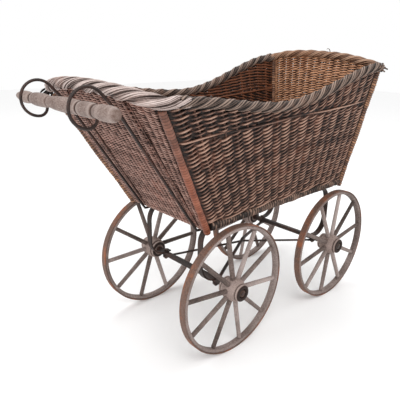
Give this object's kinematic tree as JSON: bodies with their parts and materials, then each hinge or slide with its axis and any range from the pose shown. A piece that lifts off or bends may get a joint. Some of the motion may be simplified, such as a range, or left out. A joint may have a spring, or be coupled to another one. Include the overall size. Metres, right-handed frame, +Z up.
{
  "type": "wicker doll stroller",
  "caption": "Flared woven willow basket on spoked wooden wheels with strap springs and a turned wooden push bar on iron scrolls, for dolls.",
  "frame": {"origin": "on the ground, under the middle of the whole length and width", "axes": "X from the handle end to the high end, Y to the left side, Z up"},
  "size_m": [0.78, 0.3615, 0.5857],
  "materials": {
    "willow": "dark weathered willow, woven",
    "split_willow": "fine weave of split willow, grey brown",
    "willow_border": "dry grey willow, plaited",
    "cane_wrap": "red brown cane wound round the pole",
    "deal": "plain sawn board",
    "turned_wood": "worn turned wood, dull",
    "wheel_wood": "grey weathered wood",
    "tyre_iron": "rusted flat iron",
    "black_iron": "blackened wrought iron, dull",
    "bolt_iron": "dull rusty iron"
  },
  "bodies": {
    "frame": {"floor_boards": "deal", "floor_batten_rear": "deal", "floor_batten_front": "deal", "bottom_rail_left": "cane_wrap", "bottom_rail_right": "cane_wrap", "bottom_rail_rear": "cane_wrap", "bottom_rail_front": "cane_wrap", "side_wall_left": "willow", "side_wall_right": "willow", "rear_wall": "split_willow", "front_wall": "willow", "corner_post_rear_left": "cane_wrap", "corner_post_rear_right": "cane_wrap", "corner_post_front_left": "cane_wrap", "corner_post_front_right": "cane_wrap", "rim_border_left": "willow_border", "rim_border_right": "willow_border", "rim_border_front": "willow_border", "rim_plait_rear": "willow_border", "handle_bar": "turned_wood", "handle_scroll_left": "black_iron", "handle_scroll_right": "black_iron", "scroll_staples": "black_iron", "spring_rear_left": "black_iron", "spring_rear_right": "black_iron", "spring_front_left": "black_iron", "spring_front_right": "black_iron", "spring_bolts": "bolt_iron", "axle_bolts": "bolt_iron", "rear_axle": "black_iron", "front_axle": "black_iron", "brace_bar": "black_iron", "brace_rod": "black_iron", "axle_washers": "bolt_iron", "axle_nuts": "bolt_iron"},
    "wheel_rear_left": {"tyre_rear_left": "tyre_iron", "felloe_rear_left": "wheel_wood", "spokes_rear_left": "wheel_wood", "hub_rear_left": "wheel_wood", "bush_rear_left": "black_iron"},
    "wheel_rear_right": {"tyre_rear_right": "tyre_iron", "felloe_rear_right": "wheel_wood", "spokes_rear_right": "wheel_wood", "hub_rear_right": "wheel_wood", "bush_rear_right": "black_iron"},
    "wheel_front_left": {"tyre_front_left": "tyre_iron", "felloe_front_left": "wheel_wood", "spokes_front_left": "wheel_wood", "hub_front_left": "wheel_wood", "bush_front_left": "black_iron"},
    "wheel_front_right": {"tyre_front_right": "tyre_iron", "felloe_front_right": "wheel_wood", "spokes_front_right": "wheel_wood", "hub_front_right": "wheel_wood", "bush_front_right": "black_iron"}
  },
  "joints": [
    {"name": "wheel_rear_left_turn", "type": "hinge", "parent": "frame", "child": "wheel_rear_left", "pos_m": [-0.086, 0.1355, 0.135], "axis": [0, 1, 0], "continuous": true},
    {"name": "wheel_rear_right_turn", "type": "hinge", "parent": "frame", "child": "wheel_rear_right", "pos_m": [-0.086, -0.1355, 0.135], "axis": [0, 1, 0], "continuous": true},
    {"name": "wheel_front_left_turn", "type": "hinge", "parent": "frame", "child": "wheel_front_left", "pos_m": [0.255, 0.1355, 0.135], "axis": [0, 1, 0], "continuous": true},
    {"name": "wheel_front_right_turn", "type": "hinge", "parent": "frame", "child": "wheel_front_right", "pos_m": [0.255, -0.1355, 0.135], "axis": [0, 1, 0], "continuous": true}
  ]
}
